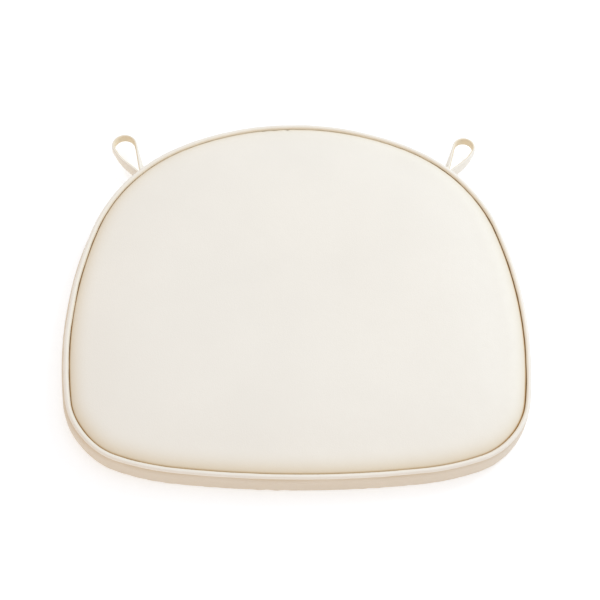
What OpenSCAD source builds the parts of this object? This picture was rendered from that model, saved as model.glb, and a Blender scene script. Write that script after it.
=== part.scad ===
// Seat pad for a chair: a boxed cover of soft imitation leather over a foam core.
// The plan is a "D" with a broad rounded rear and nearly straight front. The cover has a piped
// top seam, a zip in its rear wall, and one strap loop at each rear shoulder.
// Origin: middle of the underside. +X is the width, +Y points to the rear, +Z is up.

/* [Plan] */
// Width across the top seam
seam_w = 441; // [400:1:480]
// Radius of the rear edge, which the zip follows
rear_r = 263; // [250:1:275]
// Radius of each side
side_r = 431; // [400:1:460]
// Radius of each front flank, between corner and front
flank_r = 246; // [220:1:270]
// Radius of the front edge
front_r = 1035; // [950:5:1100]
// Where the rear arc ends, as degrees turned from the rear centre
rear_end = 26; // [25:0.5:28]
// Where the shoulder arc ends
shoulder_end = 72.6; // [71:0.2:74]
// Where the side arc ends
side_end = 98.8; // [98:0.2:100]
// Where the corner arc ends
corner_end = 160.2; // [159:0.2:161]
// Where the flank arc ends
flank_end = 173.6; // [172:0.2:175]

/* [Section] */
// Height of the top seam above the underside
seam_z = 28; // [26:0.5:32]
// Rise of the crowned top above the seam
crown_h = 9; // [5:0.5:12]
// How late the crown turns down towards the seam
crown_power = 6; // [4:0.5:8]
// Thickness of the cover material
skin_t = 1.2; // [0.8:0.1:1.5]
// How far the wall stands outside the seam line
wall_out = 4.5; // [4.5:0.5:6]
// Diameter of the piping
piping_d = 5; // [4:0.5:5]
// Diameter of the cord in the piping
cord_d = 2.9; // [2:0.1:3]
// Thickness of the wadding under the foam
underlay_t = 2; // [1:0.5:3]

/* [Zip] */
// Height of the zip's centre line
zip_z = 13.5; // [12:0.5:15]
// Height of the opening in the rear wall
zip_slot = 9.6; // [9.6:0.2:11]
// Height of one half of the zip tape
tape_h = 8.5; // [7:0.5:9]
// Thickness of the zip tape
tape_t = 0.7; // [0.5:0.1:0.8]
// Height of one row of the zip's coil
coil_h = 2; // [1.5:0.1:2.2]
// Depth of the coil
coil_t = 1.7; // [1.2:0.1:1.7]
// Gap between the two rows, where the slider's neck passes
coil_gap = 1.2; // [1.2:0.1:1.4]
// Length of the slider
slider_l = 11; // [9:0.5:12]
// Height of the slider
slider_h = 8.6; // [8:0.2:8.6]
// Length of the pull tab from its pivot
pull_l = 21; // [16:1:26]

/* [Strap loops] */
// Where a loop leaves the wall, as degrees turned from the rear centre
loop_at = 43; // [42:1:47]
// Direction of a loop, as degrees from straight back
loop_lean = 28; // [22:1:34]
// Inner radius of the loop's round end
loop_r = 10; // [8:0.5:12]
// Thickness of the strap
strap_t = 3; // [2.4:0.1:3]
// Height of the strap, which stands on its edge
strap_h = 10; // [8:0.5:10]
// Height of the strap's middle
strap_z = 14; // [12:0.5:15]
// Distance from the loop's root to the centre of its round end
loop_l = 39; // [34:1:42]

/* [Hidden] */
// Radii that close the outline at the stated width
corner_r = (seam_w / 2 - side_r * (1 - sin(side_end)) - flank_r * (sin(corner_end) - sin(flank_end))
            - front_r * sin(flank_end)) / (sin(side_end) - sin(corner_end));
shoulder_r = (seam_w / 2 - rear_r * sin(rear_end) - side_r * (1 - sin(shoulder_end)))
             / (sin(shoulder_end) - sin(rear_end));
ends = [0, rear_end, shoulder_end, side_end, corner_end, flank_end, 180];
radii = [rear_r, shoulder_r, side_r, corner_r, flank_r, front_r];
steps = [10, 8, 5, 10, 3, 2];

slack = 0.3;             // clearance between pieces that move past each other
wall_in = wall_out - skin_t;
wall_top = seam_z - piping_d / 2;
foam_top = wall_top - slack;
foam_low = skin_t + underlay_t;
tape_in = wall_in - tape_t;
coil_out = wall_in + coil_t;
plate_t = 1;             // thickness of each slider plate
face_in = coil_out + slack;
face_out = face_in + plate_t;
back_out = tape_in - slack;
back_in = back_out - plate_t;
pull_t = 1.2;            // thickness of the pull tab
pivot_out = face_out + slack + pull_t / 2;
bridge_w = 1.6;          // height of the bridge that holds the pull
bridge_in = pivot_out + pull_t / 2 + slack;
bridge_l = 8;            // length of the bridge
post_l = 1.2;            // length of each post of the bridge
slider_at = 23.8;        // the closed slider, in degrees turned from the rear centre
stop_at = 25.2;          // where a stop begins
stop_end = 25.8;
pocket_in = back_in - slack;
root_r = strap_t + 0.2;  // radius of the root where both ends of a strap meet
loop_mid = loop_r + strap_t / 2;

// ---- Plan outline: six tangent arcs a side, mirrored in the YZ plane ----

function normal(turn) = [sin(turn), cos(turn)];
function chain(i) = i == 0 ? [0, 0] : chain(i - 1) + (radii[i - 1] - radii[i]) * normal(ends[i]);
// Moves the chained arcs so that the outline's box is centred on the origin
centre_y = -(rear_r + chain(5).y - front_r) / 2;
centres = [for (i = [0:5]) chain(i) + [0, centre_y]];

function arc_of(turn, i = 0) = i == 5 || turn <= ends[i + 1] ? i : arc_of(turn, i + 1);
function half_edge(turn, out) = let (i = arc_of(turn)) centres[i] + (radii[i] + out) * normal(turn);
// The point where the outline faces "turn" degrees from the rear, "out" mm outside the seam line
function edge(turn, out) = let (whole = (turn + 720) % 360)
    whole > 180 ? [-half_edge(360 - whole, out).x, half_edge(360 - whole, out).y]
                : half_edge(whole, out);

half_stations = [for (i = [0:5]) for (j = [0:steps[i] - 1]) ends[i] + (ends[i + 1] - ends[i]) * j / steps[i]];
stations = concat(half_stations, [180],
                  [for (i = [len(half_stations) - 1:-1:1]) 360 - half_stations[i]]);
marks = concat([for (s = stations) s - 360], stations);
function between(a, b) = concat([a], [for (m = marks) if (m > a + 0.1 && m < b - 0.1) m], [b]);

module plan(out) {
    polygon([for (s = stations) edge(s, out)]);
}

// A strip of the plan between two turns and two distances from the seam line
module strip(a, b, inner, outer) {
    run = between(a, b);
    polygon(concat([for (s = run) edge(s, outer)],
                   [for (i = [len(run) - 1:-1:0]) edge(run[i], inner)]));
}

module wall(a, b, inner, outer, low, high) {
    translate([0, 0, low]) linear_extrude(high - low) strip(a, b, inner, outer);
}

module slab(out, low, high) {
    translate([0, 0, low]) linear_extrude(high - low) plan(out);
}

// Carries a closed profile of [out, z] points round the whole outline
module round_outline(profile) {
    n = len(profile);
    m = len(stations);
    polyhedron(
        points = [for (s = stations) for (p = profile) [edge(s, p[0]).x, edge(s, p[0]).y, p[1]]],
        faces = [for (i = [0:m - 1]) for (j = [0:n - 1])
            [i * n + j, ((i + 1) % m) * n + j, ((i + 1) % m) * n + (j + 1) % n, i * n + (j + 1) % n]],
        convexity = 6);
}

// ---- Crowned pieces: rings of the plan that shrink to the middle ----

rings = [1, 0.96, 0.9, 0.82, 0.7, 0.45];
function crown(share) = seam_z + crown_h * (1 - pow(share, crown_power));

// A lens between the crowned surface "top_drop" below the crown and a lower surface: the crown
// "low_drop" below itself, or the level "flat" where one is given
module crowned(out, top_drop, low_drop, flat) {
    m = len(stations);
    k = len(rings);
    rim = [for (s = stations) edge(s, out)];
    function low(share) = is_undef(flat) ? crown(share) - low_drop : flat;
    upper = [for (r = rings) for (p = rim) [p.x * r, p.y * r, crown(r) - top_drop]];
    lower = [for (r = rings) for (p = rim) [p.x * r, p.y * r, low(r)]];
    top_mid = 2 * m * k;
    polyhedron(
        points = concat(upper, lower, [[0, 0, crown(0) - top_drop], [0, 0, low(0)]]),
        faces = concat(
            [for (j = [0:k - 2]) for (i = [0:m - 1]) let (n = (i + 1) % m)
                [j * m + i, j * m + n, (j + 1) * m + n, (j + 1) * m + i]],
            [for (j = [0:k - 2]) for (i = [0:m - 1]) let (n = (i + 1) % m, b = m * k)
                [b + j * m + n, b + j * m + i, b + (j + 1) * m + i, b + (j + 1) * m + n]],
            [for (i = [0:m - 1]) [(k - 1) * m + i, (k - 1) * m + (i + 1) % m, top_mid]],
            [for (i = [0:m - 1]) [m * k + (k - 1) * m + (i + 1) % m, m * k + (k - 1) * m + i, top_mid + 1]],
            [for (i = [0:m - 1]) [(i + 1) % m, i, m * k + i, m * k + (i + 1) % m]]),
        convexity = 4);
}

module top_panel() {
    color([0.94, 0.93, 0.9]) crowned(-0.15, 0, skin_t);
}

module wadding_top() {
    color([0.97, 0.97, 0.97]) crowned(-0.4, skin_t, 0, foam_top);
}

// ---- Cover walls and base ----

module bottom_panel() {
    color([0.86, 0.83, 0.76]) slab(wall_out, 0, skin_t);
}

module band_front() {
    color([0.9, 0.87, 0.8]) wall(loop_at, 360 - loop_at, wall_in, wall_out, skin_t, wall_top);
}

// Beyond the zip's ends the two rear halves meet at the zip's centre line
module band_rear_upper() {
    color([0.91, 0.88, 0.81]) {
        wall(-loop_at, loop_at, wall_in, wall_out, zip_z + zip_slot / 2, wall_top);
        for (side = [-1, 1])
            wall(min(side * loop_at, side * rear_end), max(side * loop_at, side * rear_end),
                 wall_in, wall_out, zip_z, zip_z + zip_slot / 2);
    }
}

module band_rear_lower() {
    color([0.91, 0.88, 0.81]) {
        wall(-loop_at, loop_at, wall_in, wall_out, skin_t, zip_z - zip_slot / 2);
        for (side = [-1, 1])
            wall(min(side * loop_at, side * rear_end), max(side * loop_at, side * rear_end),
                 wall_in, wall_out, zip_z - zip_slot / 2, zip_z);
    }
}

// ---- Piping: a strip of the cover wrapped round a cord, open where it turns into the seam ----

wrap_from = 240;
wrap_to = 570;
wrap_parts = 10;

module piping_cover() {
    function at(r, a) = [piping_d / 2 + r * cos(a), seam_z + r * sin(a)];
    turns = [for (i = [0:wrap_parts]) wrap_from + (wrap_to - wrap_from) * i / wrap_parts];
    color([0.94, 0.92, 0.87])
        round_outline(concat([for (a = turns) at(piping_d / 2, a)],
                             [for (i = [wrap_parts:-1:0]) at(cord_d / 2 + 0.1, turns[i])]));
}

module piping_cord() {
    color([0.97, 0.97, 0.95])
        round_outline([for (i = [0:7]) [piping_d / 2 + cord_d / 2 * cos(i * 45),
                                        seam_z + cord_d / 2 * sin(i * 45)]]);
}

// ---- Filling ----

module foam_core() {
    color([0.98, 0.93, 0.7]) difference() {
        slab(wall_in, foam_low, foam_top);
        // Room behind the zip for its tape and for the slider's back plate
        wall(-rear_end - 1, rear_end + 1, pocket_in, wall_out, zip_z - tape_h - 1, zip_z + tape_h + 1);
    }
}

module wadding_bottom() {
    color([0.97, 0.97, 0.97]) slab(wall_in, skin_t, foam_low);
}

// ---- Zip ----

// Puts something built round the rear arc's own centre at a turn and a height: +Y is outward
module on_zip(turn) {
    translate([centres[0].x, centres[0].y, zip_z]) rotate([0, 0, -turn]) children();
}

module tape(side) {
    low = side > 0 ? coil_gap / 2 : -tape_h;
    color([0.93, 0.91, 0.85])
        wall(-rear_end - 0.5, rear_end + 0.5, tape_in, wall_in, zip_z + low, zip_z + low + tape_h - coil_gap / 2);
}

module zip_tape_upper() {
    tape(1);
}

module zip_tape_lower() {
    tape(-1);
}

module coil(side) {
    low = side > 0 ? coil_gap / 2 : -coil_gap / 2 - coil_h;
    color([0.96, 0.95, 0.92])
        wall(-stop_at + 0.05, stop_at - 0.05, wall_in, coil_out, zip_z + low, zip_z + low + coil_h);
}

module zip_coil_upper() {
    coil(1);
}

module zip_coil_lower() {
    coil(-1);
}

module stop(a, b) {
    half = coil_gap / 2 + coil_h;
    color([0.75, 0.75, 0.76]) wall(a, b, wall_in, coil_out + 0.1, zip_z - half, zip_z + half);
}

module zip_stop_left() {
    stop(-stop_end, -stop_at);
}

module zip_stop_right() {
    stop(stop_at, stop_end);
}

// Plate of the slider: wide at the neck's end, where the two rows part
module slider_plate(inner, outer) {
    l = slider_l / 2;
    h = slider_h / 2;
    tail = h * 0.72;
    translate([0, rear_r + outer, 0]) rotate([90, 0, 0]) linear_extrude(outer - inner)
        polygon([[-l, -tail + 1], [-l + 1, -tail], [0, -h], [l - 1.5, -h], [l, -h + 1.5],
                 [l, h - 1.5], [l - 1.5, h], [0, h], [-l + 1, tail], [-l, tail - 1]]);
}

module slider_block(from, to, inner, outer, low, high) {
    translate([from, rear_r + inner, low]) cube([to - from, outer - inner, high - low]);
}

module zip_slider() {
    flange_t = 0.8;
    neck_t = coil_gap - 2 * slack;
    color([0.78, 0.78, 0.8]) on_zip(slider_at) {
        difference() {
            union() {
                slider_plate(face_in, face_out);
                slider_plate(back_in, back_out);
                slider_block(slider_l / 2 - 3.4, slider_l / 2 - 0.8, back_out - 0.1, face_in + 0.1,
                             -neck_t / 2, neck_t / 2);
                for (side = [0, 1]) mirror([0, 0, side])
                    slider_block(0, slider_l / 2 - 1.6, wall_in + slack + 0.1, face_in + 0.1,
                                 slider_h / 2 - flange_t, slider_h / 2);
                slider_block(-bridge_l / 2, bridge_l / 2, face_out - 0.1, bridge_in + 1,
                             -bridge_w / 2, bridge_w / 2);
            }
            slider_block(-bridge_l / 2 + post_l, bridge_l / 2 - post_l, face_out, bridge_in,
                         -bridge_w, bridge_w);
        }
    }
}

// The pull's bar lies under the bridge. Its tab rests back along the closed rows.
module zip_pull() {
    arm_h = 1;
    arm_low = bridge_w / 2 + 0.5;
    tab_h = 6.4;
    tab_from = bridge_l / 2 + 0.8;
    bar_l = 2 * (arm_low + arm_h);
    color([0.78, 0.78, 0.8]) on_zip(slider_at) translate([0, rear_r + pivot_out, 0]) {
        translate([0, 0, -bar_l / 2]) cylinder(h = bar_l, r = pull_t / 2, $fn = 24);
        for (side = [-1, 1])
            translate([-tab_from - 0.5, -pull_t / 2, side > 0 ? arm_low : -arm_low - arm_h])
                cube([tab_from + 0.5, pull_t, arm_h]);
        rotate([90, 0, 0]) translate([0, 0, -pull_t / 2]) linear_extrude(pull_t) difference() {
            union() {
                translate([-pull_l + tab_h / 2, -tab_h / 2]) square([pull_l - tab_h / 2 - tab_from, tab_h]);
                translate([-pull_l + tab_h / 2, 0]) circle(r = tab_h / 2, $fn = 32);
            }
            translate([-pull_l + tab_h / 2, 0]) circle(r = 1.4, $fn = 24);
        }
    }
}

// ---- Strap loops: one strap on edge, both ends meeting in a round root at the wall ----

leg_foot = strap_t / 2 + 0.1;
leg_span = norm([leg_foot, loop_l]);
leg_angle = asin(loop_mid / leg_span) - atan(leg_foot / loop_l);
leg_l = sqrt(leg_span * leg_span - loop_mid * loop_mid);
leg_t = strap_t - 0.1;   // a little thinner than the round end, so that their faces never graze

module strap_loop() {
    root = edge(loop_at, wall_out + slack + root_r);
    translate([root.x, root.y, strap_z - strap_h / 2]) rotate([0, 0, -loop_lean]) {
        cylinder(h = strap_h, r = root_r, $fn = 48);
        for (side = [0, 1]) mirror([side, 0, 0])
            translate([leg_foot, 0, 0]) rotate([0, 0, -leg_angle])
                translate([-leg_t / 2, 0, 0]) cube([leg_t, leg_l + 0.2, strap_h]);
        translate([0, loop_l, 0]) rotate([0, 0, -leg_angle])
            rotate_extrude(angle = 180 + 2 * leg_angle, $fn = 96)
                translate([loop_r, 0]) square([strap_t, strap_h]);
    }
}

module strap_loop_right() {
    color([0.93, 0.91, 0.85]) strap_loop();
}

module strap_loop_left() {
    color([0.93, 0.91, 0.85]) mirror([1, 0, 0]) strap_loop();
}

top_panel();
bottom_panel();
band_front();
band_rear_upper();
band_rear_lower();
piping_cover();
piping_cord();
wadding_top();
foam_core();
wadding_bottom();
zip_tape_upper();
zip_tape_lower();
zip_coil_upper();
zip_coil_lower();
zip_stop_left();
zip_stop_right();
zip_slider();
zip_pull();
strap_loop_left();
strap_loop_right();
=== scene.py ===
"""Looks of the chair seat pad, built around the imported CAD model.

Shapes are worked out in millimetres in the CAD model's own frame and turned into metres when a mesh is
made. The plan outline is the CAD model's, six tangent arcs a side, mirrored left to right, except that
the sewing draws it in a little at the two front corners.
"""
import math

import bpy
import numpy as np
from mathutils import Matrix, Vector

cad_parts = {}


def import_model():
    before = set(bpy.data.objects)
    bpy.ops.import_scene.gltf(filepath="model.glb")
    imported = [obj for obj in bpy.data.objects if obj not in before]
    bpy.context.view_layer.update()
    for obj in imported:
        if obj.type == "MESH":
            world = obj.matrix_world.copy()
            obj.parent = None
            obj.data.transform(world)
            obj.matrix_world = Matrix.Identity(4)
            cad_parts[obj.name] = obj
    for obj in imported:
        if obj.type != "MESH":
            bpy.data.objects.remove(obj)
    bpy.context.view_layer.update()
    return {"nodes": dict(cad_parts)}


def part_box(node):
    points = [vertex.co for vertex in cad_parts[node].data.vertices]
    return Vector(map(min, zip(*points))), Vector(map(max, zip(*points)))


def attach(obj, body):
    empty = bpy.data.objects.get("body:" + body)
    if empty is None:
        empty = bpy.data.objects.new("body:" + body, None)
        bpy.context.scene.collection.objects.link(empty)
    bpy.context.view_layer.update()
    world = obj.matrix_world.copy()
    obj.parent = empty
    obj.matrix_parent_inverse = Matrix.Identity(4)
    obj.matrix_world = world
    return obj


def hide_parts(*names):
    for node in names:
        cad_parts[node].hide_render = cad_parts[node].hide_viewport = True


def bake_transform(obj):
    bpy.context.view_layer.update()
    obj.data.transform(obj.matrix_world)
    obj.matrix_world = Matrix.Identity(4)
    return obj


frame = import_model()

MM = 0.001

# ---- Driving dimensions, in mm, the CAD model's except where a comment says otherwise ----

SEAM_W = 441.0                                     # width across the top seam
REAR_R, SIDE_R, FLANK_R, FRONT_R = 263.0, 431.0, 246.0, 1035.0
ENDS = np.radians([0, 26, 72.6, 98.8, 160.2, 173.6, 180])   # where each arc ends, turned from the rear
SEAM_Z = 28.0                                      # height of the top seam
CROWN_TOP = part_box("top_panel")[1].z / MM          # height of the crown's middle
SKIN = 1.2                                         # thickness of the cover material
PIPE_R = 2.5                                       # radius of the piping
ZIP_Z = 13.5                                       # height of the zip's centre line
ZIP_SLOT = 9.6                                     # height of the zip's opening
ZIP_END = 26.0                                     # where the opening starts to close, in degrees
SIDE_SEAM = 43.0                                   # where the front and rear walls join, in degrees
STRAP_T = 3.2                                      # thickness of the strap, with its soft padding
ROOT_OUT = 8.0                                     # distance of a loop's root from the seam line

# The CAD model's two loops are alike. Here the left (-1) and right (1) hang a little differently: where
# each leaves the wall and how far it leans out, in degrees, its length to the centre of its round end, and
# its middle line's radius
LOOP_AT = {-1: 43.6, 1: 42.3}
LOOP_LEAN = {-1: 27.5, 1: 29.9}
LOOP_L = {-1: 39.6, 1: 37.4}
LOOP_MID = {-1: 12.0, 1: 10.7}
STRAP_LOW, STRAP_HIGH = (corner.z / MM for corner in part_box("strap_loop_left"))

# The wall's section, which is plain in the CAD model
WALL_OUT = 5.0                                     # how far the wall swells outside the seam line
WALL_TUCK = 1.6                                    # where the wall meets its upper seam
WALL_FOOT = 4.1                                    # where the wall meets its lower seam
WALL_TOP = 26.0                                    # height of the wall's upper edge
WALL_LOW = 0.6                                     # height of the wall's lower edge
PANEL_Z = SEAM_Z - 0.5                             # height of the top panel where it meets its seam
PIPE_Z = SEAM_Z + 0.2                              # height of the piping's middle line

# Where the sewing draws the outline in: how far in mm, and the middle and width of the place in degrees
DRAWN_IN = ((1.6, 232, 22), (0.8, 130, 24))

STEP = 2.2                                         # spacing of mesh points round the cover
FILL_STEP = 4.4                                    # spacing of mesh points round the filling
CORD_STEP = 1.8                                    # spacing of mesh points along the twisted cord

# ---- The plan outline ----

sines = np.sin(ENDS)
corner_r = (SEAM_W / 2 - SIDE_R * (1 - sines[3]) - FLANK_R * (sines[4] - sines[5])
            - FRONT_R * sines[5]) / (sines[3] - sines[4])
shoulder_r = (SEAM_W / 2 - REAR_R * sines[1] - SIDE_R * (1 - sines[2])) / (sines[2] - sines[1])
radii = np.array([REAR_R, shoulder_r, SIDE_R, corner_r, FLANK_R, FRONT_R])


def normal(turn):
    """Outward direction in plan where the outline has turned by "turn" degrees from the rear centre."""
    angle = np.radians(turn)
    return np.stack([np.sin(angle), np.cos(angle)], -1)


def arc_centres():
    found = [np.zeros(2)]
    for i in range(5):
        found.append(found[-1] + (radii[i] - radii[i + 1]) * normal(np.degrees(ENDS[i + 1])))
    found = np.array(found)
    found[:, 1] -= (REAR_R + found[5, 1] - FRONT_R) / 2
    return found


centres = arc_centres()


def drawn_in(whole):
    """How far the sewing draws the outline in at its two front corners, the left one more."""
    return sum(depth * np.exp(-((whole - middle) / width) ** 2) for depth, middle, width in DRAWN_IN)


def edge(turn, out):
    """Points "out" mm outside the seam line where the outline has turned by "turn" degrees."""
    turn = np.asarray(turn, float)
    whole = np.mod(turn, 360)
    out = out - drawn_in(whole)
    left = whole > 180
    half = np.where(left, 360 - whole, whole)
    arc = np.clip(np.searchsorted(np.degrees(ENDS), half, side="left") - 1, 0, 5)
    points = centres[arc] + (radii[arc] + out)[..., None] * normal(half)
    points[..., 0] = np.where(left, -points[..., 0], points[..., 0])
    return points


dense_turn = np.linspace(0, 360, 7201)
dense_step = np.linalg.norm(np.diff(edge(dense_turn, 0), axis=0), axis=1)
dense_length = np.concatenate([[0], np.cumsum(dense_step)])
GIRTH = dense_length[-1]                           # length of the seam line


def length_at(turn):
    """Distance along the seam line from the rear centre, for any turn."""
    laps = np.floor(np.asarray(turn, float) / 360)
    return laps * GIRTH + np.interp(turn - laps * 360, dense_turn, dense_length)


def turn_at(length):
    laps = np.floor(np.asarray(length, float) / GIRTH)
    return laps * 360 + np.interp(length - laps * GIRTH, dense_length, dense_turn)


def run(start, stop, step=STEP):
    """Turns evenly spaced along the seam line from start to stop."""
    ends = length_at(np.array([start, stop]))
    count = max(2, int(round((ends[1] - ends[0]) / step)) + 1)
    return turn_at(np.linspace(ends[0], ends[1], count))


def lap(count):
    """That many turns, evenly spaced along the whole seam line."""
    return turn_at(np.arange(count) * (GIRTH / count))


# ---- Small irregularities of sewn material ----

def smooth(x):
    x = np.clip(x, 0, 1)
    return x * x * (3 - 2 * x)


def ripple(turn, fewest, most, seed):
    """A smooth wobble round the outline with between fewest and most crests, of about unit height."""
    rng = np.random.default_rng(seed)
    along = length_at(turn) / GIRTH * 2 * np.pi
    crests = np.arange(fewest, most)
    heights = rng.normal(size=len(crests))
    phases = rng.uniform(0, 2 * np.pi, len(crests))
    waves = heights * np.sin(np.multiply.outer(along, crests) + phases)
    return waves.sum(-1) / np.sqrt(len(crests) / 2)


def near(turn, middle, width):
    """1 where the outline passes "middle" degrees, falling to 0 about width mm away along the seam."""
    gap = (length_at(turn) - length_at(middle) + GIRTH / 2) % GIRTH - GIRTH / 2
    return np.exp(-(gap / width) ** 2)


def leftward(turn):
    """1 on the left side of the pad, where the wall sags out most, and 0 from front to right."""
    return np.clip(-np.sin(np.radians(turn)), 0, 1) ** 2.2


def frontward(turn):
    """1 at the front of the pad, -1 at its rear."""
    return -np.cos(np.radians(turn))


def rim_shift(turn):
    """How far the sewn rim stands outside its line: the cover is pulled a little towards the front."""
    angle = np.radians(turn)
    return 0.15 - 0.75 * np.cos(angle) + 0.3 * np.sin(angle)


def sideways(turn):
    """1 on the left and right sides of the pad, 0 at its front and rear."""
    return np.sin(np.radians(turn)) ** 2


# ---- Meshes ----

def make_object(name, points, faces, attributes=None):
    mesh = bpy.data.meshes.new(name)
    mesh.from_pydata((np.asarray(points) * MM).tolist(), [], faces)
    for key, values in (attributes or {}).items():
        layer = mesh.attributes.new(key, "FLOAT", "POINT")
        layer.data.foreach_set("value", np.asarray(values, np.float32).ravel())
    mesh.polygons.foreach_set("use_smooth", [True] * len(mesh.polygons))
    mesh.update()
    obj = bpy.data.objects.new(name, mesh)
    bpy.context.scene.collection.objects.link(obj)
    return obj


def grid_faces(rows, columns, round_rows=False, round_columns=False):
    faces = []
    for r in range(rows if round_rows else rows - 1):
        for c in range(columns if round_columns else columns - 1):
            r2, c2 = (r + 1) % rows, (c + 1) % columns
            faces.append((r * columns + c, r * columns + c2, r2 * columns + c2, r2 * columns + c))
    return faces


def flipped(faces):
    return [tuple(reversed(face)) for face in faces]


def ring_faces(rings, count, first=None, last=None):
    """Faces between rings of points, with a fan at either end to the point that is given for it."""
    faces = grid_faces(rings, count, round_columns=True)
    end = (rings - 1) * count
    if last is not None:
        faces += [(end + i, end + (i + 1) % count, last) for i in range(count)]
    if first is not None:
        faces += [((i + 1) % count, i, first) for i in range(count)]
    return faces


def stack_faces(start, rings, count):
    """Faces of a stack of rings whose points begin at "start", with a flat face at each end."""
    top = start + (rings - 1) * count
    faces = [tuple(start + i for i in face) for face in grid_faces(rings, count, round_columns=True)]
    return faces + [tuple(range(start, start + count))[::-1], tuple(range(top, top + count))]


def thicken(obj, thickness=SKIN):
    """Gives a sheet its thickness, inside its visible face."""
    solid = obj.modifiers.new("thickness", "SOLIDIFY")
    solid.thickness = thickness * MM
    solid.offset = -1.0
    solid.use_even_offset = False
    return obj


def place(turn, out, z):
    """Points from turns, distances outside the seam line and heights, all of one shape."""
    plan = edge(turn, out)
    return np.concatenate([plan, np.asarray(z)[..., None]], -1)


# ---- Materials ----

def new_material(name):
    material = bpy.data.materials.new(name)
    material.use_nodes = True
    tree = material.node_tree
    return material, tree, tree.nodes["Principled BSDF"]


def add(tree, kind, **inputs):
    """A node of that kind; inputs named after its sockets are values, or sockets to link."""
    made = tree.nodes.new(kind)
    for key, value in inputs.items():
        socket = made.inputs[int(key[1:])] if key[0] == "_" else made.inputs[key.replace("_", " ")]
        if isinstance(value, bpy.types.NodeSocket):
            tree.links.new(value, socket)
        else:
            socket.default_value = value
    return made


def mix_colour(tree, factor, first, second, mode="MIX"):
    made = tree.nodes.new("ShaderNodeMix")
    made.data_type = "RGBA"
    made.blend_type = mode
    for socket, value in ((made.inputs[0], factor), (made.inputs[6], first), (made.inputs[7], second)):
        if isinstance(value, bpy.types.NodeSocket):
            tree.links.new(value, socket)
        else:
            socket.default_value = value
    return made.outputs[2]


def remap(tree, value, low, high, to_low, to_high):
    made = add(tree, "ShaderNodeMapRange", Value=value)
    for key, number in (("From Min", low), ("From Max", high), ("To Min", to_low), ("To Max", to_high)):
        made.inputs[key].default_value = number
    return made.outputs[0]


def noise(tree, place_socket, scale, detail=2.0, rough=0.5):
    made = add(tree, "ShaderNodeTexNoise", Vector=place_socket, Scale=scale, Detail=detail)
    made.inputs["Roughness"].default_value = rough
    return made.outputs[0]


def bumped(tree, height, depth, before=None):
    made = add(tree, "ShaderNodeBump", Height=height, Strength=1.0, Distance=depth * MM)
    if before is not None:
        tree.links.new(before, made.inputs["Normal"])
    return made.outputs[0]


def shaded(colour, amount):
    """The colour with its three channels multiplied by "amount"."""
    return tuple(channel * amount for channel in colour[:3]) + (1,)


def attribute(tree, name):
    made = tree.nodes.new("ShaderNodeAttribute")
    made.attribute_name = name
    return made.outputs["Fac"]


GOLDEN = (0.82, 0.67, 0.34, 1)       # light that gathers between creamy surfaces where they meet


def leather(name, colour, crease_shade_colour=(0.44, 0.24, 0.07, 1), roughness=0.5, grain=1.0):
    """Smooth imitation leather: faint mottling, fine pebbled grain, painted shade in the seams, golden
    then brown.
    """
    material, tree, shader = new_material(name)
    spot = add(tree, "ShaderNodeTexCoord").outputs["Object"]
    cloudy = noise(tree, spot, 14.0, 3.0)
    mottled = noise(tree, spot, 160.0, 3.0)
    shade = shaded(colour, 0.985)
    base = mix_colour(tree, remap(tree, cloudy, 0.35, 0.65, 0, 1), shade, shaded(colour, 1.01))
    base = mix_colour(tree, remap(tree, mottled, 0.3, 0.7, 0.0, 0.35), base, shade)
    # Painted shade: the crease attribute turns the colour towards golden bounce light and then brown shade
    crease_shade = attribute(tree, "crease_shade")
    base = mix_colour(tree, crease_shade, base, mix_colour(tree, crease_shade, GOLDEN, crease_shade_colour))
    tree.links.new(base, shader.inputs["Base Color"])
    cells = add(tree, "ShaderNodeTexVoronoi", Vector=spot, Scale=900.0)
    cells.feature = "SMOOTH_F1"
    cells.inputs["Smoothness"].default_value = 0.6
    pebbles = bumped(tree, cells.outputs["Distance"], 0.05 * grain)
    creased = bumped(tree, noise(tree, spot, 420.0, 4.0, 0.6), 0.05 * grain, pebbles)
    tree.links.new(creased, shader.inputs["Normal"])
    tree.links.new(remap(tree, mottled, 0.3, 0.7, roughness - 0.05, roughness + 0.06),
                   shader.inputs["Roughness"])
    shader.inputs["Specular IOR Level"].default_value = 0.4
    shader.inputs["Sheen Weight"].default_value = 0.06
    return material


def woven(name, colour, pitch=0.55, depth=0.12):
    """Plain weave of two crossing sets of threads, "pitch" mm apart."""
    material, tree, shader = new_material(name)
    spot = add(tree, "ShaderNodeTexCoord").outputs["Object"]
    waves = []
    for direction in ("X", "Y"):
        wave = add(tree, "ShaderNodeTexWave", Vector=spot, Scale=1 / (math.pi * pitch * MM))
        wave.bands_direction = direction
        wave.inputs["Distortion"].default_value = 0.6
        wave.inputs["Detail"].default_value = 1.0
        waves.append(wave.outputs["Fac"])
    cross = add(tree, "ShaderNodeMath", _0=waves[0], _1=waves[1])
    cross.operation = "MULTIPLY"
    tone = mix_colour(tree, remap(tree, noise(tree, spot, 40.0, 3.0), 0.3, 0.7, 0, 1),
                      shaded(colour, 0.93), colour)
    tone = mix_colour(tree, remap(tree, cross.outputs[0], 0.0, 0.5, 0.5, 0.0), tone, shaded(colour, 0.7))
    tree.links.new(tone, shader.inputs["Base Color"])
    tree.links.new(bumped(tree, cross.outputs[0], depth), shader.inputs["Normal"])
    shader.inputs["Roughness"].default_value = 0.85
    shader.inputs["Sheen Weight"].default_value = 0.15
    return material


def fibre(name, colour, scale=300.0, depth=0.5):
    """Loose wadding or open foam: soft, lumpy and matt."""
    material, tree, shader = new_material(name)
    spot = add(tree, "ShaderNodeTexCoord").outputs["Object"]
    lumps = noise(tree, spot, scale, 5.0, 0.7)
    tone = mix_colour(tree, remap(tree, lumps, 0.3, 0.7, 0, 1), shaded(colour, 0.86), colour)
    tree.links.new(tone, shader.inputs["Base Color"])
    tree.links.new(bumped(tree, lumps, depth), shader.inputs["Normal"])
    shader.inputs["Roughness"].default_value = 0.95
    return material


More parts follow.
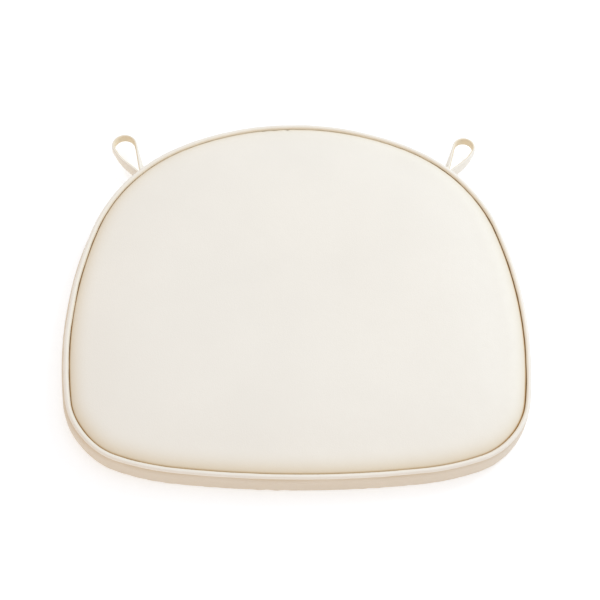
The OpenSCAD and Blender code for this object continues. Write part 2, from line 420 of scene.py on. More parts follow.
def nickel(name, colour):
    """Plated metal with faint rubbing marks."""
    material, tree, shader = new_material(name)
    spot = add(tree, "ShaderNodeTexCoord").outputs["Object"]
    rubbed = noise(tree, spot, 900.0, 4.0, 0.65)
    tone = mix_colour(tree, remap(tree, rubbed, 0.4, 0.7, 0, 1), colour, shaded(colour, 0.86))
    tree.links.new(tone, shader.inputs["Base Color"])
    tree.links.new(remap(tree, rubbed, 0.3, 0.7, 0.18, 0.34), shader.inputs["Roughness"])
    tree.links.new(bumped(tree, rubbed, 0.02), shader.inputs["Normal"])
    shader.inputs["Metallic"].default_value = 1.0
    return material


def nylon(name, colour):
    """Slightly translucent moulded plastic."""
    material, tree, shader = new_material(name)
    spot = add(tree, "ShaderNodeTexCoord").outputs["Object"]
    flow = noise(tree, spot, 600.0, 3.0)
    tone = mix_colour(tree, remap(tree, flow, 0.3, 0.7, 0, 1), colour, shaded(colour, 0.92))
    tree.links.new(tone, shader.inputs["Base Color"])
    tree.links.new(bumped(tree, flow, 0.02), shader.inputs["Normal"])
    shader.inputs["Roughness"].default_value = 0.38
    shader.inputs["Subsurface Weight"].default_value = 0.08
    shader.inputs["Subsurface Scale"].default_value = 0.001
    return material


cover_leather = leather("cover_leather", (0.86, 0.825, 0.75, 1))
piping_leather = leather("piping_leather", (0.87, 0.83, 0.755, 1), roughness=0.38)
# The walls are the cover's leather painted darker and warmer, as painted shade for the shade they stand in
wall_leather_shaded = leather("wall_leather_shaded", (0.735, 0.65, 0.535, 1))
# The strap's painted shade ends in a more golden brown than the cover's
strap_leather = leather("strap_leather", (0.87, 0.83, 0.75, 1), (0.6, 0.38, 0.1, 1), 0.46, 0.8)
backing_cloth = woven("backing_cloth", (0.66, 0.6, 0.5, 1))
tape_cloth = woven("tape_cloth", (0.84, 0.77, 0.64, 1), pitch=0.4, depth=0.08)
wadding = fibre("wadding", (0.93, 0.93, 0.92, 1))
foam = fibre("foam", (0.9, 0.84, 0.62, 1), scale=900.0, depth=0.3)
cord_fibre = fibre("cord_fibre", (0.9, 0.89, 0.86, 1), scale=1200.0, depth=0.2)
thread = fibre("thread", (0.86, 0.82, 0.73, 1), scale=2500.0, depth=0.05)
zip_nylon = nylon("zip_nylon", (0.9, 0.84, 0.72, 1))
zip_metal = nickel("zip_metal", (0.72, 0.71, 0.69, 1))


def finish_piece(obj, material, body, replaced=()):
    """Gives a piece its material, the body it rides on and the CAD pieces it stands for."""
    obj.data.materials.append(material)
    if body is not None:
        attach(obj, body)
    if replaced:
        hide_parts(*replaced)


# ---- Top panel ----

ROLL_W = 19.0        # distance over which the top rolls up out of its seam
ROLL_H = 6.2         # height that it gains there
DOME_W = 95.0        # distance over which it gains the rest
TUCK = 1.8           # how far the panel goes on under the piping

# Gathers beside the join in the piping: where each is in degrees, and its width and depth in mm
JOIN_GATHERS = ((-2.0, 1.8, 1.2), (-4.9, 4.0, 0.7), (-7.5, 2.0, 0.7), (1.0, 2.4, 0.3))


def crown_height(inside):
    """Height of the top panel "inside" mm in from the seam line; less than 0 is under the piping."""
    rolled = 1 - (1 - np.clip(inside / ROLL_W, 0, 1)) ** 2.6
    domed = 1 - (1 - np.clip(inside / DOME_W, 0, 1)) ** 2
    rise = ROLL_H * rolled + (CROWN_TOP - PANEL_Z - ROLL_H) * domed
    return PANEL_Z + rise + 1.6 * np.minimum(inside, 0)


SIM_RINGS = 26       # rings of points in the simulated cloth
SIM_COUNT = int(GIRTH / 8)                         # points in each ring
SIM_SINK = 2.0       # how far below its full height the cloth starts
SIM_CAP = 2.6        # most that a point may rise


def sink(inside):
    """How far below its full height the cloth starts, "inside" mm in from the seam."""
    return SIM_SINK * (1 - np.exp(-np.clip(inside, 0, None) / 30))


def reach_in(turn):
    """Distance from the seam line to the middle of the pad, square to the seam."""
    return np.sum(edge(turn, np.zeros_like(turn)) * normal(turn), -1)


def sewn_sheet(turn):
    """The slack top panel, closed by a flat base so that it can be blown up."""
    rim = edge(turn, np.zeros(SIM_COUNT))
    rings = []
    for share in np.arange(SIM_RINGS) / SIM_RINGS:
        inside = share * reach_in(turn)
        z = crown_height(inside) - sink(inside)
        rings.append(np.concatenate([rim * (1 - share), z[:, None]], -1))
    middles = np.array([[0, 0, CROWN_TOP - SIM_SINK], [0, 0, PANEL_Z]])
    points = np.concatenate(rings + [middles])
    return points, flipped(ring_faces(SIM_RINGS, SIM_COUNT, len(points) - 1, len(points) - 2))


def blown_up(points, faces):
    """Where the points of the sheet end, held at the seam, after 20 frames of cloth simulation."""
    obj = make_object("slack_cover", points, faces)
    seam = obj.vertex_groups.new(name="seam")
    seam.add(list(range(SIM_COUNT)) + [len(points) - 1], 1.0, "REPLACE")
    settings = obj.modifiers.new("cloth", "CLOTH").settings
    settings.quality = 6
    settings.mass = 0.3
    settings.tension_stiffness = settings.compression_stiffness = 15
    settings.tension_damping = settings.compression_damping = 15
    settings.shear_stiffness = 5
    settings.bending_stiffness = 5
    settings.air_damping = 3
    settings.use_pressure = True
    settings.uniform_pressure_force = 0.5
    settings.vertex_group_mass = "seam"
    settings.effector_weights.gravity = 0
    for step in range(1, 21):
        bpy.context.scene.frame_set(step)
    settled = obj.evaluated_get(bpy.context.evaluated_depsgraph_get()).data
    found = np.empty(len(points) * 3, np.float32)
    settled.vertices.foreach_get("co", found)
    bpy.data.objects.remove(obj)
    bpy.context.scene.frame_set(1)
    return found.reshape(-1, 3) / MM


def lift_table():
    """Height that the cloth gains, in rows by share of the way in and columns by place round the seam."""
    turn = lap(SIM_COUNT)
    rows = np.append(np.arange(SIM_RINGS) / SIM_RINGS, 1)
    points, faces = sewn_sheet(turn)
    settled = blown_up(points, faces)
    table = np.empty((SIM_RINGS + 1, SIM_COUNT))
    for column in range(SIM_COUNT):
        line = np.append(np.arange(SIM_RINGS) * SIM_COUNT + column, len(points) - 2)
        start = np.linalg.norm(points[line, :2], axis=1)
        ended = np.minimum.accumulate(np.linalg.norm(settled[line, :2], axis=1))
        height = np.interp(start[::-1], ended[::-1], settled[line[::-1], 2])[::-1]
        table[:, column] = height - points[line, 2]
    middle = smooth((rows - 0.6) / 0.32)[:, None]
    table = table * (1 - middle) + table[SIM_RINGS * 3 // 4:].mean() * middle
    return SIM_CAP * np.tanh(table / SIM_CAP)


LIFTS = lift_table()


def curve_weights(t):
    """Weights of four neighbouring values on a smooth curve through the middle two."""
    return [(-t + 2 * t ** 2 - t ** 3) / 2, (2 - 5 * t ** 2 + 3 * t ** 3) / 2,
            (t + 4 * t ** 2 - 3 * t ** 3) / 2, (t ** 3 - t ** 2) / 2]


def settled_height(turn, inside):
    """Height of the blown-up top panel "inside" mm in from the seam line."""
    around = length_at(turn) / GIRTH * SIM_COUNT
    inward = np.clip(inside / reach_in(turn), 0, 1) * SIM_RINGS
    column = np.floor(around).astype(int)
    row = np.minimum(np.floor(inward).astype(int), SIM_RINGS - 1)
    lift = 0.0
    for i, along_row in enumerate(curve_weights(inward - row)):
        for j, along_column in enumerate(curve_weights(around - column)):
            value = LIFTS[np.clip(row + i - 1, 0, SIM_RINGS), (column + j - 1) % SIM_COUNT]
            lift = lift + along_row * along_column * value
    return crown_height(inside) - sink(inside) + lift * (inside > 0)


def pucker_depth(turn, inside):
    """Small gathers where the top panel is drawn into its seam, deepest at the piping's join."""
    rim = 0.6 * (1 - sideways(turn)) * np.exp(-np.clip(inside, 0, None) / 5)
    fade = np.exp(-np.clip(inside, 0, None) / 7.0)
    everywhere = 0.05 * ripple(turn, 50, 110, 11)
    corners = 0.10 * ripple(turn, 70, 120, 12) * (near(turn, 130, 60) + near(turn, 230, 60))
    join = 0.0
    for middle, width, depth in JOIN_GATHERS:
        join = join + depth * near(turn, middle, width)
    return rim + fade * (everywhere + corners) - np.exp(-np.clip(inside, 0, None) / 4.5) * join


def seam_shade(turn):
    """How much brown painted shade the seam gets: most at the sides, least at the rear."""
    return 0.38 + 0.5 * sideways(turn) - 0.1 * np.clip(-frontward(turn), 0, 1)


def rim_shade(turn):
    """How much golden painted shade the top panel gets near its seam: most at the front and on the left.
    """
    return 0.3 + 0.2 * np.clip(frontward(turn), 0, 1) + 0.12 * leftward(turn)


def top_panel():
    turn = lap(int(GIRTH / STEP))
    near_seam = [-TUCK, -0.9, -0.5, -0.15, 0.15, 0.45, 0.9, 1.5, 2.3, 3.2, 4.4, 5.8, 7.4, 9.0]
    rings = []
    crease_shades = []
    for inside in near_seam:
        distance = np.full_like(turn, inside)
        z = settled_height(turn, distance) + pucker_depth(turn, distance)
        inward = max(inside, 0)
        rings.append(place(turn, rim_shift(turn) * math.exp(-inward / 5) - distance, z))
        # Painted shade: brown right at the seam, golden over the rim beyond it
        brown = seam_shade(turn) * math.exp(-(inward / 0.9) ** 2)
        crease_shades.append(brown + rim_shade(turn) * math.exp(-inward / 6))
    base = edge(turn, np.full_like(turn, -near_seam[-1]))
    reach = np.sum(base * normal(turn), -1)
    shares = 1 - np.linspace(0, 1, 34)[1:-1] ** 1.35
    for share in shares:
        inside = near_seam[-1] + (1 - share) * reach
        z = settled_height(turn, inside) + pucker_depth(turn, inside)
        rings.append(np.concatenate([base * share, z[:, None]], -1))
        # Painted shade: golden over the rim, fading inwards
        crease_shades.append(rim_shade(turn) * np.exp(-inside / 6))
    points = np.concatenate(rings + [np.array([[0, 0, rings[-1][:, 2].mean()]])])
    faces = flipped(ring_faces(len(rings), len(turn), last=len(points) - 1))
    return make_object("top_cover", points, faces, {"crease_shade": np.concatenate(crease_shades + [np.zeros(1)])})


cover_top = thicken(top_panel())
finish_piece(cover_top, cover_leather, "pad", ["top_panel"])


# ---- Piping ----

def piping():
    turn = lap(int(GIRTH / STEP))
    sides = 20
    around = np.linspace(0, 2 * np.pi, sides, endpoint=False)
    swell = PIPE_R * (1 + 0.02 * ripple(turn, 30, 90, 21) + 0.08 * np.cos(np.radians(turn + 45)))
    drift = 0.07 * ripple(turn, 8, 30, 22) + rim_shift(turn)
    out = PIPE_R + 0.3 + drift[:, None] + swell[:, None] * np.cos(around)
    z = PIPE_Z + swell[:, None] * np.sin(around) * 0.98
    points = place(np.repeat(turn[:, None], sides, 1), out, z).reshape(-1, 3)
    # Painted shade on the piping: brown low on its inner side by the seam, and lighter over its inner side
    low_inside = np.clip(-np.sin(around + 0.96), 0, 1) ** 6
    inner = 0.3 * np.clip(-np.cos(around + 0.2), 0, 1) ** 1.5
    crease_shade = np.maximum(np.outer(seam_shade(turn) + 0.1, low_inside), inner)
    return make_object("piping_roll", points, grid_faces(len(turn), sides, True, True),
                       {"crease_shade": crease_shade})


roll = thicken(piping(), 0.9)
finish_piece(roll, piping_leather, "pad", ["piping_cover"])


# ---- Walls ----

def wall_swell(turn, z):
    """How far outside the seam line the wall stands at a height."""
    share = (z - WALL_LOW) / (WALL_TOP - WALL_LOW)
    tuck = np.where(share > 0.5, WALL_TUCK, WALL_FOOT)
    full = WALL_OUT - tuck + 2.1 * leftward(turn)
    body = 1 - np.abs(2 * np.clip(share, 0, 1) - 1) ** 5
    gather = 0.13 * ripple(turn, 60, 120, 31) * (1 - body) ** 0.5
    slack = 0.22 * ripple(turn, 6, 18, 32) * body
    return tuck + full * body + gather + slack


END_TUCK = 1.5       # how far a wall's ends turn in to their upright seams


def end_tuck(turn, start, stop):
    """How far a wall from start to stop turns in, which it does only at its two ends."""
    gap = np.minimum(np.abs(length_at(turn) - length_at(start)), np.abs(length_at(turn) - length_at(stop)))
    return END_TUCK * np.exp(-(gap / 1.1) ** 2)


def wall_heights(low, high, count):
    """Heights from high to low, closer together at both ends."""
    return (high + low) / 2 + (high - low) / 2 * np.cos(np.linspace(0, np.pi, count))


def front_wall():
    turn = run(SIDE_SEAM, 360 - SIDE_SEAM)
    z = wall_heights(WALL_LOW, WALL_TOP, 26)
    turns, heights = np.meshgrid(turn, z, indexing="ij")
    tuck = end_tuck(turns, SIDE_SEAM, 360 - SIDE_SEAM)
    # Painted shade on the wall: at its upper seam, at its foot and at its turned-in ends, less on the left
    crease_shade = np.exp(-((WALL_TOP + 0.3 - heights) / 2) ** 2) + 0.5 * np.exp(-(heights - WALL_LOW) / 0.5)
    crease_shade = np.clip(crease_shade + tuck / END_TUCK, 0, 1) * (0.75 - 0.35 * leftward(turns))
    points = place(turns, wall_swell(turns, heights) - tuck, heights).reshape(-1, 3)
    return make_object("wall_front", points, grid_faces(len(turn), len(z)), {"crease_shade": crease_shade})


FOLD_R = 0.8         # radius of the fold along the zip's opening


def slot_half(turn):
    """Half the height of the zip's opening, which closes beyond the zip's ends."""
    beyond = (np.abs(turn) - ZIP_END) / 2.2
    return ZIP_SLOT / 2 * (1 - smooth(beyond)) + 0.12


def rear_wall(side):
    """Upper (side 1) or lower (side -1) half of the rear wall, folded in along the zip."""
    turn = run(-SIDE_SEAM, SIDE_SEAM, 1.6)
    limit = WALL_TOP if side > 0 else WALL_LOW
    edge_z = ZIP_Z + side * (slot_half(turn) + FOLD_R)
    rows = 16
    share = (1 - np.cos(np.linspace(0, np.pi, rows))) / 2
    heights = limit + (edge_z[:, None] - limit) * share
    turns = np.repeat(turn[:, None], rows, 1)
    out = wall_swell(turns, heights)
    fold = np.radians(np.linspace(20, 150, 7))
    fold_out = out[:, -1:] - FOLD_R + FOLD_R * np.cos(fold)
    fold_z = edge_z[:, None] - side * FOLD_R * np.sin(fold)
    out = np.concatenate([out, fold_out], 1)
    heights = np.concatenate([heights, fold_z], 1)
    turns = np.repeat(turn[:, None], rows + len(fold), 1)
    tuck = end_tuck(turns, -SIDE_SEAM, SIDE_SEAM)
    # Painted shade on the wall: along its sewn edge, at its turned-in ends, and deepening into the fold of
    # the zip's opening
    crease_shade = np.exp(-np.abs(heights - limit) / 1.1) * 0.8 + tuck / END_TUCK * 0.8
    crease_shade[:, rows:] += np.linspace(0, 0.8, len(fold))
    points = place(turns, out - tuck, heights).reshape(-1, 3)
    faces = grid_faces(len(turn), rows + len(fold))
    crease_shade = np.clip(crease_shade, 0, 1)
    name = "wall_rear_upper" if side > 0 else "wall_rear_lower"
    return make_object(name, points, faces if side > 0 else flipped(faces), {"crease_shade": crease_shade})


wall = thicken(front_wall())
finish_piece(wall, wall_leather_shaded, "pad", ["band_front"])
for side, node in ((1, "band_rear_upper"), (-1, "band_rear_lower")):
    finish_piece(thicken(rear_wall(side)), wall_leather_shaded, "pad", [node])


# ---- Filling ----

def filled_body(name, profile):
    """A closed body, from the distances and heights of its side, listed from the top."""
    turn = lap(int(GIRTH / FILL_STEP))
    count = len(turn)
    rings = [place(turn, np.broadcast_to(out, count), np.full(count, z)) for out, z in profile(turn)]
    shares = np.linspace(1, 0, 13)[1:-1] ** 0.8
    tops = [rings[0] * [share, share, 1] for share in shares[::-1]]
    lows = [rings[-1] * [share, share, 1] for share in shares]
    rings = tops + rings + lows
    points = np.concatenate(rings + [rings[0].mean(0, keepdims=True), rings[-1].mean(0, keepdims=True)])
    return make_object(name, points, ring_faces(len(rings), count, len(points) - 2, len(points) - 1))


def behind_zip(turn):
    """1 behind the zip, where the foam is cut back to leave room for the slider, and 0 elsewhere."""
    half = np.abs((turn + 180) % 360 - 180)
    return 1 - smooth((half - ZIP_END - 1) / 3)


def foam_profile(turn):
    """Side of the foam, which swells out between its top and bottom faces."""
    low, high = 3.3, 24.9
    swell = 3.4 - 1.8 * behind_zip(turn)
    for share in (1 - np.cos(np.linspace(0, np.pi, 13))) / 2:
        bulge = 1 - np.abs(2 * share - 1) ** 3
        yield swell * bulge - 1.6, high + (low - high) * share


def underlay_profile(turn):
    """Round side of the thin wadding under the foam, the same at every turn."""
    for angle in np.linspace(0, np.pi, 7):
        yield -0.6 + 0.8 * np.sin(angle), 2.15 + 0.9 * np.cos(angle)


WADDING_IN = 2.6     # how far in from the seam line the upper wadding ends
WADDING_Z = 25.1     # height of its flat lower face
WADDING_EDGE = 0.3   # its thickness at the edge


def top_wadding():
    """Lens of wadding between the foam and the top panel."""
    turn = lap(int(GIRTH / FILL_STEP))
    count = len(turn)
    base = edge(turn, np.full(count, -WADDING_IN))
    reach = np.sum(base * normal(turn), -1)
    shares = np.linspace(0, 1, 30)[1:] ** 1.2
    clear = SKIN + 0.5
    upper = []
    for share in shares[::-1]:
        inside = WADDING_IN + (1 - share) * reach
        z = np.maximum(settled_height(turn, inside) - clear, WADDING_Z + WADDING_EDGE)
        upper.append(np.concatenate([base * share, z[:, None]], -1))
    lower = [np.concatenate([base * share, np.full((count, 1), WADDING_Z)], -1) for share in shares]
    rings = upper[::-1] + lower[::-1]
    points = np.concatenate(rings + [np.array([[0, 0, upper[-1][:, 2].mean()], [0, 0, WADDING_Z]])])
    faces = ring_faces(len(rings), count, len(points) - 2, len(points) - 1)
    return make_object("wadding_crown", points, faces)


foam_block = filled_body("foam_block", foam_profile)
finish_piece(foam_block, foam, "pad", ["foam_core"])
underlay = filled_body("wadding_underlay", underlay_profile)
finish_piece(underlay, wadding, "pad", ["wadding_bottom"])
crown = top_wadding()
finish_piece(crown, wadding, "pad", ["wadding_top"])


def twisted_cord():
    """Three strands twisted together inside the piping."""
    turn = lap(int(GIRTH / CORD_STEP))
    sides = 15
    around = np.linspace(0, 2 * np.pi, sides, endpoint=False)
    twist = 2 * np.pi * np.round(GIRTH / 14) / GIRTH * length_at(turn)
    strands = 1.08 + 0.22 * np.abs(np.cos(1.5 * (around[None, :] - twist[:, None])))
    out = PIPE_R + strands * np.cos(around)
    z = PIPE_Z + strands * np.sin(around)
    points = place(np.repeat(turn[:, None], sides, 1), out, z).reshape(-1, 3)
    return make_object("cord_strands", points, grid_faces(len(turn), sides, True, True))


finish_piece(twisted_cord(), cord_fibre, "pad", ["piping_cord"])


# ---- Underside ----

def underside():
    turn = lap(int(GIRTH / STEP))
    outs = [WALL_FOOT + 0.4, WALL_FOOT - 0.2, 2.8, 1.4, -1.0, -4.0, -10.0]
    rings = []
    crease_shades = []
    for out in outs:
        lift = 0.9 * np.exp(-(outs[0] - out) / 1.8) * (1 + 0.12 * ripple(turn, 40, 100, 41))
        rings.append(place(turn, np.full_like(turn, out), lift))
        crease_shades.append(np.full_like(turn, 0.7 * np.exp(-(outs[0] - out) / 1.5)))
    base = edge(turn, np.full_like(turn, outs[-1]))
    for share in 1 - np.linspace(0, 1, 20)[1:-1]:
        rings.append(np.concatenate([base * share, np.zeros((len(turn), 1))], -1))
        crease_shades.append(np.zeros_like(turn))
    points = np.concatenate(rings + [np.zeros((1, 3))])
    faces = ring_faces(len(rings), len(turn), last=len(points) - 1)
    return make_object("under_cover", points, faces, {"crease_shade": np.concatenate(crease_shades + [np.zeros(1)])})


base_cover = thicken(underside(), 0.9)
finish_piece(base_cover, backing_cloth, "pad", ["bottom_panel"])


# ---- Strap loops ----

TWIST = 28.0         # how far the strap's top edge leans inward where it is sewn in, in degrees
INNER_SHADE = 0.62    # how much painted shade the strap's inner face gets
BOW = 2.0            # how far the strap's outer leg bows out
FOOT = 2.6           # half the distance between the strap's two legs at its root


def strap_path(side):
    """Middle line of the strap in its own frame: root at the origin, loop along +Y."""
    radius = LOOP_MID[side]
    reach = LOOP_L[side]
    span = math.hypot(FOOT, reach)
    lean = math.asin(radius / span) - math.atan(FOOT / reach)
    leg = math.sqrt(span ** 2 - radius ** 2)
    share = np.linspace(0, 1, 40)[:, None]
    legs = share * np.array([[leg * math.sin(lean), leg * math.cos(lean)]]) + np.array([[FOOT, 0]])
    bow = BOW * np.sin(math.pi * share ** 1.5) * np.array([[1, 0]])
    turns = np.linspace(-lean, math.pi + lean, 60)[1:-1]
    end = np.stack([radius * np.cos(turns), reach + radius * np.sin(turns)], -1)
    tail = np.array([[FOOT * 0.85, -5.5], [FOOT * 0.88, -3.6], [FOOT * 0.94, -1.8]])
    path = np.concatenate([tail, legs + bow, end, (legs * [-1, 1])[::-1], (tail * [-1, 1])[::-1]])
    for _ in range(14):
        path[1:-1] = path[1:-1] * 0.5 + (path[:-2] + path[2:]) * 0.25
    return path


def strap_section():
    """Rounded upright rectangle: distance from the middle line, and height from the strap's middle."""
    half_t = STRAP_T / 2
    half_h = (STRAP_HIGH - STRAP_LOW) / 2
    angle = np.linspace(0, 2 * np.pi, 36, endpoint=False) + 0.05   # so that no point has a sine of zero
    across = np.sign(np.cos(angle)) * np.abs(np.cos(angle)) ** (2 / 2.8)
    along = np.sign(np.sin(angle)) * np.abs(np.sin(angle)) ** (2 / 4.2)
    return half_t * across, half_h * along


def strap_loop(side):
    """The left (-1) or right (1) strap, which leans in where it is sewn and stands upright at its end."""
    path = strap_path(side)
    step = np.gradient(path, axis=0)
    tangent = step / np.linalg.norm(step, axis=1)[:, None]
    inward = np.stack([-tangent[:, 1], tangent[:, 0]], -1)
    length = np.concatenate([[0], np.cumsum(np.linalg.norm(np.diff(path, axis=0), axis=1))])
    from_end = np.minimum(length, length[-1] - length)
    tilt = np.radians(TWIST) * (1 - smooth((from_end - 5) / 42))
    across, up = strap_section()
    sunk = across[None, :] * np.cos(tilt)[:, None] + up[None, :] * np.sin(tilt)[:, None]
    rise = up[None, :] * np.cos(tilt)[:, None] - across[None, :] * np.sin(tilt)[:, None]
    plan = path[:, None, :] + sunk[..., None] * inward[:, None, :]
    root = edge(LOOP_AT[side], ROOT_OUT)
    lean = math.radians(LOOP_LEAN[side])
    x = root[0] + plan[..., 0] * math.cos(lean) + plan[..., 1] * math.sin(lean)
    y = root[1] - plan[..., 0] * math.sin(lean) + plan[..., 1] * math.cos(lean)
    z = (STRAP_HIGH + STRAP_LOW) / 2 + rise
    points = np.stack([x * side, y, z], -1).reshape(-1, 3)
    faces = stack_faces(0, len(path), len(across))
    # Painted shade: on the strap's inner face, more towards its lower edge, and near both ends where it is
    # sewn in
    inner = smooth((across / STRAP_T * 2 + 0.2) * 2) * (0.75 - 0.35 * up / STRAP_HIGH)
    crease_shade = np.maximum((1 - smooth(from_end / 7))[:, None] * 0.6, inner[None, :] * INNER_SHADE)
    name = "tie_strap_right" if side > 0 else "tie_strap_left"
    return make_object(name, points, faces if side > 0 else flipped(faces), {"crease_shade": crease_shade})


for side, word in ((-1, "left"), (1, "right")):
    strap = strap_loop(side)
    finish_piece(strap, strap_leather, None, ["strap_loop_" + word])
    root = edge(LOOP_AT[side], ROOT_OUT) * MM
    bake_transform(strap)


# ---- Zip ----

TEETH_PITCH = 2.5    # distance from one tooth to the next in a row
TEETH_R = REAR_R + 4                               # radius of the arc that the teeth follow
TEETH_END = 25.0     # where a row of teeth ends, in degrees


def on_rear(turn, radius, z):
    """Points round the rear arc's own centre."""
    plan = centres[0] + np.asarray(radius)[..., None] * normal(turn)
    return np.concatenate([plan, np.asarray(z)[..., None]], -1)


def zip_teeth(side):
    """One row of moulded teeth: each a block with a round head that meets the other row."""
    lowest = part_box("zip_coil_upper")[0].z / MM - ZIP_Z
    pitch = math.degrees(TEETH_PITCH / TEETH_R)
    # Sections up a tooth: height above the zip's centre line, half the width and half the depth
    sections = [(-0.55, 0.35, 0.55), (-0.35, 0.62, 0.72), (0.3, 0.62, 0.78), (0.6, 0.42, 0.75),
                (1.2, 0.5, 0.8), (2.4, 0.55, 0.82), (lowest + 2.0, 0.4, 0.6)]
    ring = 12
    angle = np.linspace(0, 2 * np.pi, ring, endpoint=False)
    wide = np.sign(np.cos(angle)) * np.abs(np.cos(angle)) ** 0.6
    deep = np.sign(np.sin(angle)) * np.abs(np.sin(angle)) ** 0.6
    points = []
    faces = []
    for k in range(int(2 * TEETH_END / pitch)):
        turn = -TEETH_END + pitch * (k + (0.25 if side > 0 else 0.75))
        faces += stack_faces(len(points) * ring, len(sections), ring)
        for height, half_w, half_d in sections:
            around = turn + np.degrees(half_w * wide / TEETH_R)
            points.append(on_rear(around, TEETH_R + 0.15 + half_d * deep,
                                  np.full(ring, ZIP_Z + side * height)))
    name = "zip_teeth_upper" if side > 0 else "zip_teeth_lower"
    return make_object(name, np.concatenate(points), faces if side > 0 else flipped(faces))


def zip_tape(side):
    """Woven tape with a thicker cord along the teeth."""
    turn = run(-ZIP_END - 0.4, ZIP_END + 0.4, 1.6)
    outer = REAR_R + 3.3
    # Points round the tape's section: distance from the zip's centre line, and from the tape's face
    profile = [(0.6, 0.0), (0.75, 0.35), (1.2, 0.45), (2.4, 0.4), (2.9, 0.05), (3.6, 0.0), (6.0, 0.0),
               (8.4, -0.05), (8.5, -0.35), (8.4, -0.65), (6.0, -0.65), (3.0, -0.65), (0.8, -0.65),
               (0.6, -0.35)]
    height, out = np.array(profile).T
    turns = np.repeat(turn[:, None], len(profile), 1)
    points = on_rear(turns, np.broadcast_to(outer + out, turns.shape),
                     np.broadcast_to(ZIP_Z + side * height, turns.shape))
    faces = stack_faces(0, len(turn), len(profile))
    name = "zip_web_upper" if side > 0 else "zip_web_lower"
    return make_object(name, points.reshape(-1, 3), faces if side > 0 else flipped(faces))


for side, word in ((1, "upper"), (-1, "lower")):
    finish_piece(zip_teeth(side), zip_nylon, "pad", ["zip_coil_" + word])
    finish_piece(zip_tape(side), tape_cloth, "pad", ["zip_tape_" + word])


STITCH_L = 2.6       # length of a stitch
STITCH_R = 0.28      # radius of the thread
STITCH_PAST = 14     # how far the rows of stitches go on beyond the zip, in degrees


def stitches(name, turns, out, z):
    """A row of thread stitches, each a short rounded capsule lying along the wall."""
    points = []
    faces = []
    sides = 8
    # Sections along a stitch: place as a share of its length, and radius as a share of the thread's
    profile = [(-0.5, 0.15), (-0.42, 0.6), (-0.25, 0.95), (0, 1.0), (0.25, 0.95), (0.42, 0.6),
               (0.5, 0.15)]
    angle = np.linspace(0, 2 * np.pi, sides, endpoint=False)
    for turn, o, height in zip(turns, out, z):
        faces += stack_faces(len(points) * sides, len(profile), sides)
        centre = edge(turn, o)
        away = normal(turn)
        along = np.array([away[1], -away[0]])
        for share, fat in profile:
            sag = -0.25 * (2 * share) ** 2
            spot = centre + along * share * STITCH_L + away * sag
            ring = spot + np.multiply.outer(np.cos(angle) * STITCH_R * fat, away)
            points.append(np.concatenate([ring, (height + np.sin(angle) * STITCH_R * fat)[:, None]], -1))
    return make_object(name, np.concatenate(points), faces)


stitch_turn = run(-ZIP_END - STITCH_PAST, ZIP_END + STITCH_PAST, 3.6)
for side, word in ((1, "upper"), (-1, "lower")):
    stitch_z = ZIP_Z + side * (slot_half(stitch_turn) + 2.4)
    stitch_out = wall_swell(stitch_turn, stitch_z) + 0.08
    row = stitches("zip_stitching_" + word, stitch_turn, stitch_out, stitch_z)
    finish_piece(row, thread, "pad")


# ---- CAD pieces that stay, with better materials ----

for node in ("zip_slider", "zip_pull", "zip_stop_left", "zip_stop_right"):
    kept = frame["nodes"][node]
    kept.data.materials.clear()
    kept.data.materials.append(zip_metal)
    bevel = kept.modifiers.new("edges", "BEVEL")
    bevel.width = 0.22 * MM
    bevel.segments = 3
    bevel.limit_method = "ANGLE"
    bevel.angle_limit = math.radians(35)
    bevel.harden_normals = False


# ---- Studio: floor, lights and camera ----

KEY_PLACE = (1.15, 0.95, 1.45)
SURROUND = 0.75                                    # brightness of the surround
WARM = (1.04, 0.79, 0.54, 1)
COOL = (0.99, 1.0, 1.08, 1)


def floor():
    """A large pale floor, lit a little by itself so that it stays nearly white."""
    material, tree, shader = new_material("studio_floor")
    spot = add(tree, "ShaderNodeTexCoord").outputs["Object"]
    tone = mix_colour(tree, noise(tree, spot, 3.0, 2.0), (0.70, 0.70, 0.70, 1), (0.72, 0.72, 0.72, 1))
    tree.links.new(tone, shader.inputs["Base Color"])
    shader.inputs["Roughness"].default_value = 0.9
    shader.inputs["Specular IOR Level"].default_value = 0.1
    shader.inputs["Emission Color"].default_value = (0.93, 0.97, 1.0, 1)
    shader.inputs["Emission Strength"].default_value = 0.46
    size = 6000.0
    points = [(-size, -size, -0.05), (size, -size, -0.05), (size, size, -0.05), (-size, size, -0.05)]
    obj = make_object("floor", points, [(0, 1, 2, 3)])
    obj.data.materials.append(material)


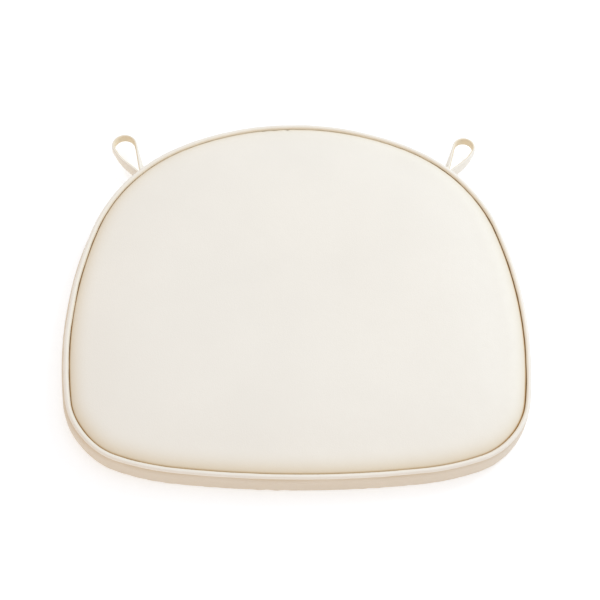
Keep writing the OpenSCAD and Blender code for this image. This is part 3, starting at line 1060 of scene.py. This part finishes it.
def area_light(name, place_m, aim_m, size, watts, colour):
    data = bpy.data.lights.new(name, "AREA")
    data.shape = "DISK"
    data.size = size
    data.energy = watts
    data.color = colour
    obj = bpy.data.objects.new(name, data)
    bpy.context.scene.collection.objects.link(obj)
    obj.location = place_m
    obj.rotation_euler = (Vector(aim_m) - Vector(place_m)).to_track_quat("-Z", "Y").to_euler()


def world():
    """A soft surround: warm on the left and in front, neutral towards the key light."""
    made = bpy.data.worlds.new("studio")
    bpy.context.scene.world = made
    made.use_nodes = True
    tree = made.node_tree
    tree.nodes["Background"].inputs["Strength"].default_value = SURROUND
    facing = add(tree, "ShaderNodeVectorMath", _0=add(tree, "ShaderNodeTexCoord").outputs["Generated"],
                 _1=Vector(KEY_PLACE).normalized())
    facing.operation = "DOT_PRODUCT"
    tint = mix_colour(tree, remap(tree, facing.outputs["Value"], -0.45, 0.75, 0, 1), WARM, COOL)
    tree.links.new(tint, tree.nodes["Background"].inputs["Color"])


def camera():
    """The photograph's view: from the front, 60 degrees up, very slightly from the left and rolled."""
    elevation, azimuth, roll = math.radians(60), math.radians(-2.42), math.radians(2.31)
    distance = 1.5
    aside = Vector((0.00322, 0.003924))            # the origin stands a little left of and below centre
    back = Vector((math.sin(azimuth) * math.cos(elevation), -math.cos(azimuth) * math.cos(elevation),
                   math.sin(elevation)))
    right = Vector((math.cos(azimuth), math.sin(azimuth), 0))
    up = back.cross(right)
    turned_right = right * math.cos(roll) + up * math.sin(roll)
    turned_up = up * math.cos(roll) - right * math.sin(roll)
    spot = back * distance
    aim = turned_right * aside.x + turned_up * aside.y
    toward = (spot - aim).normalized()
    side = turned_up.cross(toward).normalized()
    turn = Matrix((side, toward.cross(side), toward)).transposed()
    data = bpy.data.cameras.new("camera")
    data.sensor_width = 36.0
    data.lens = 89.44
    data.clip_end = 50
    obj = bpy.data.objects.new("camera", data)
    bpy.context.scene.collection.objects.link(obj)
    obj.matrix_world = Matrix.Translation(spot) @ turn.to_4x4()
    bpy.context.scene.camera = obj


floor()
world()
area_light("key", KEY_PLACE, (0, 0, 0), 1.0, 13.0, (0.86, 0.97, 1.0))
area_light("overhead", (0.1, 0.1, 2.2), (0, 0, 0), 1.4, 6.2, (0.7, 0.87, 1.0))
camera()
bpy.context.scene.view_settings.view_transform = "Standard"
